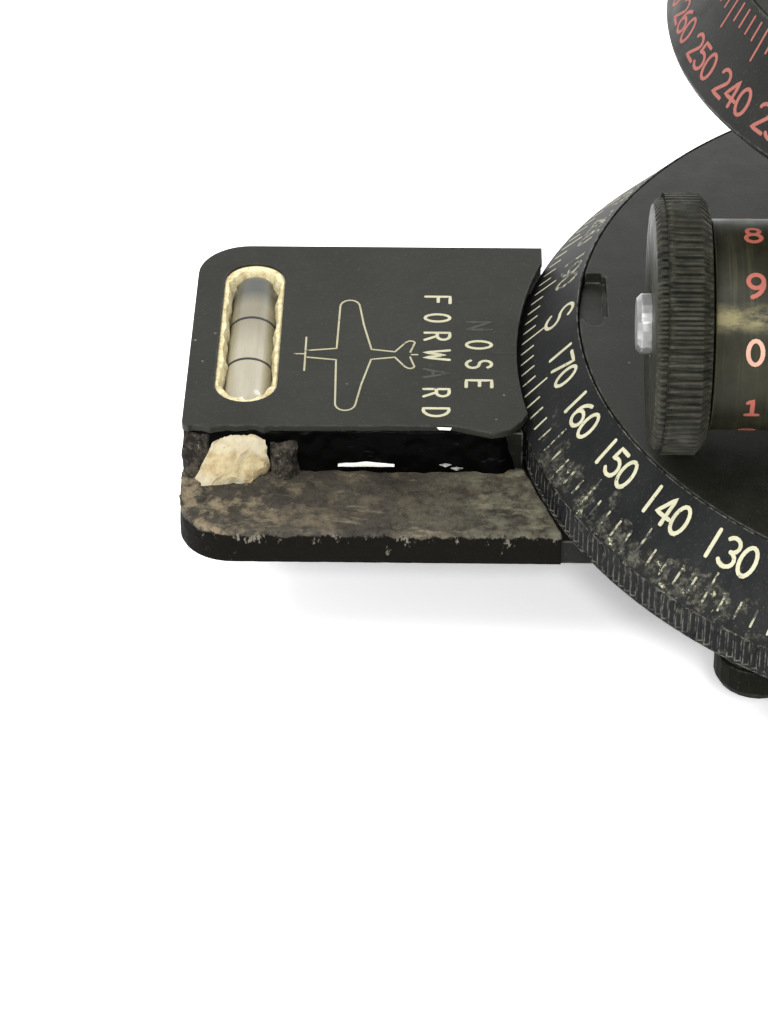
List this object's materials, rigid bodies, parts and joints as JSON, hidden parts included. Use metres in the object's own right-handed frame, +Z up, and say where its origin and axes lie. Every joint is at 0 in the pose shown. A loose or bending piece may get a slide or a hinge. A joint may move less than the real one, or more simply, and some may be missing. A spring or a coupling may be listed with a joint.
{
  "type": "astro compass",
  "caption": "Hand-set sighting instrument: levelled base with a bearing ring, worm-driven latitude tilt, conical hour circle and declination sights.",
  "frame": {"origin": "on the bearing ring's axis, at the foot's resting face", "axes": "+Z up the bearing axis, -X along the heading lug, -Y towards the operator and the levelling knobs"},
  "size_m": [0.1766, 0.159, 0.143],
  "materials": {
    "black_paint": "worn matt black",
    "ring_paint": "satin black with ivory figures",
    "olive_metal": "worn olive grey, knurled",
    "drum_metal": "blackened brass with rubbed band",
    "steel": "dull",
    "brass": "oiled",
    "plaster": "cracked setting plaster",
    "vial_glass": "clear tube, spirit filled",
    "screen": "frosted translucent"
  },
  "bodies": {
    "foot": {"mount_foot": "black_paint"},
    "levelling_ball": {"pivot_ball": "steel"},
    "levelling_knob_left": {"levelling_knob_left": "black_paint"},
    "levelling_stem_left": {"levelling_stem_left": "steel"},
    "levelling_knob_right": {"levelling_knob_right": "black_paint"},
    "levelling_stem_right": {"levelling_stem_right": "steel"},
    "base": {"base_casting": "black_paint", "heading_plate": "black_paint", "heading_setting": "plaster", "heading_vial": "vial_glass", "side_plate": "black_paint", "side_setting": "plaster", "side_vial": "vial_glass", "azimuth_washer": "brass", "azimuth_pivot": "steel"},
    "azimuth_clamp": {"azimuth_clamp_screw": "olive_metal"},
    "bearing": {"bearing_ring": "ring_paint", "deck_plate": "black_paint", "hinge_post_front": "black_paint", "hinge_post_rear": "black_paint", "shaft_bracket_front": "black_paint", "shaft_bracket_rear": "black_paint"},
    "latitude_drive": {"latitude_knob": "olive_metal", "latitude_drum": "drum_metal", "worm_shaft": "steel", "latitude_worm": "brass", "shaft_collar": "steel"},
    "polar_frame": {"hinge_pin": "steel", "hinge_nut_front": "steel", "hinge_nut_rear": "steel", "latitude_sector": "brass", "latitude_scale": "black_paint", "polar_arm": "black_paint", "hour_index": "black_paint"},
    "hour_clamp": {"hour_clamp_screw": "olive_metal"},
    "hour": {"hour_circle": "ring_paint", "hour_plate": "black_paint", "polar_spindle": "steel", "spindle_nut": "steel", "spindle_cap": "olive_metal", "declination_post_front": "black_paint", "declination_post_rear": "black_paint"},
    "declination": {"declination_drum": "ring_paint", "declination_shaft": "steel", "sight_bar": "black_paint", "sight_bar_screw_front": "steel", "sight_bar_screw_rear": "steel", "shadow_sight": "black_paint", "screen_frame": "black_paint", "sight_screen": "screen"},
    "declination_clamp": {"declination_clamp_knob": "olive_metal"}
  },
  "joints": [
    {"name": "tilt_left", "type": "hinge", "parent": "foot", "child": "levelling_ball", "pos_m": [0, 0, 0.014], "axis": [-0.7071, 0.7071, 0], "range_deg": [-2.5, 2.5]},
    {"name": "tilt_right", "type": "hinge", "parent": "levelling_ball", "child": "base", "pos_m": [0, 0, 0.014], "axis": [-0.7071, -0.7071, 0], "range_deg": [-2.5, 2.5]},
    {"name": "knob_left_turn", "type": "hinge", "parent": "foot", "child": "levelling_knob_left", "pos_m": [-0.03429, -0.03429, 0.009], "axis": [0, 0, 1], "range_deg": [-510, 510]},
    {"name": "stem_left_travel", "type": "slide", "parent": "foot", "child": "levelling_stem_left", "axis": [0, 0, 1], "range_m": [-0.00215, 0.00215]},
    {"name": "knob_right_turn", "type": "hinge", "parent": "foot", "child": "levelling_knob_right", "pos_m": [0.03429, -0.03429, 0.009], "axis": [0, 0, 1], "range_deg": [-510, 510]},
    {"name": "stem_right_travel", "type": "slide", "parent": "foot", "child": "levelling_stem_right", "axis": [0, 0, 1], "range_m": [-0.00215, 0.00215]},
    {"name": "azimuth_clamp_turn", "type": "hinge", "parent": "base", "child": "azimuth_clamp", "pos_m": [0.07, 0, 0.0212], "axis": [1, 0, 0], "range_deg": [-270, 0]},
    {"name": "bearing_turn", "type": "hinge", "parent": "base", "child": "bearing", "pos_m": [0, 0, 0.0305], "axis": [0, 0, 1], "continuous": true},
    {"name": "latitude_tilt", "type": "hinge", "parent": "bearing", "child": "polar_frame", "pos_m": [0.03, 0, 0.0616], "axis": [0, 1, 0], "range_deg": [0, 90]},
    {"name": "latitude_knob_turn", "type": "hinge", "parent": "bearing", "child": "latitude_drive", "pos_m": [0, -0.0233, 0.0456], "axis": [1, 0, 0], "range_deg": [-5, 3245]},
    {"name": "hour_clamp_turn", "type": "hinge", "parent": "polar_frame", "child": "hour_clamp", "pos_m": [0.00065, 0.0444, 0.06], "axis": [0, 0, 1], "range_deg": [0, 270]},
    {"name": "hour_turn", "type": "hinge", "parent": "polar_frame", "child": "hour", "pos_m": [0.00065, 0, 0.068], "axis": [0, 0, 1], "continuous": true},
    {"name": "declination_tilt", "type": "hinge", "parent": "hour", "child": "declination", "pos_m": [0.00065, 0, 0.11], "axis": [0, -1, 0], "range_deg": [-64, 64]},
    {"name": "declination_clamp_turn", "type": "hinge", "parent": "declination", "child": "declination_clamp", "pos_m": [0.00065, -0.0161, 0.11], "axis": [0, -1, 0], "range_deg": [-180, 0]}
  ],
  "couplings": [
    {"joint": "knob_left_turn", "follows": "tilt_left", "ratio": 203.16},
    {"joint": "knob_right_turn", "follows": "tilt_right", "ratio": 203.16},
    {"joint": "stem_left_travel", "follows": "tilt_left", "m_per_rad": 0.0485},
    {"joint": "stem_right_travel", "follows": "tilt_right", "m_per_rad": 0.0485},
    {"joint": "latitude_knob_turn", "follows": "latitude_tilt", "ratio": 36}
  ]
}
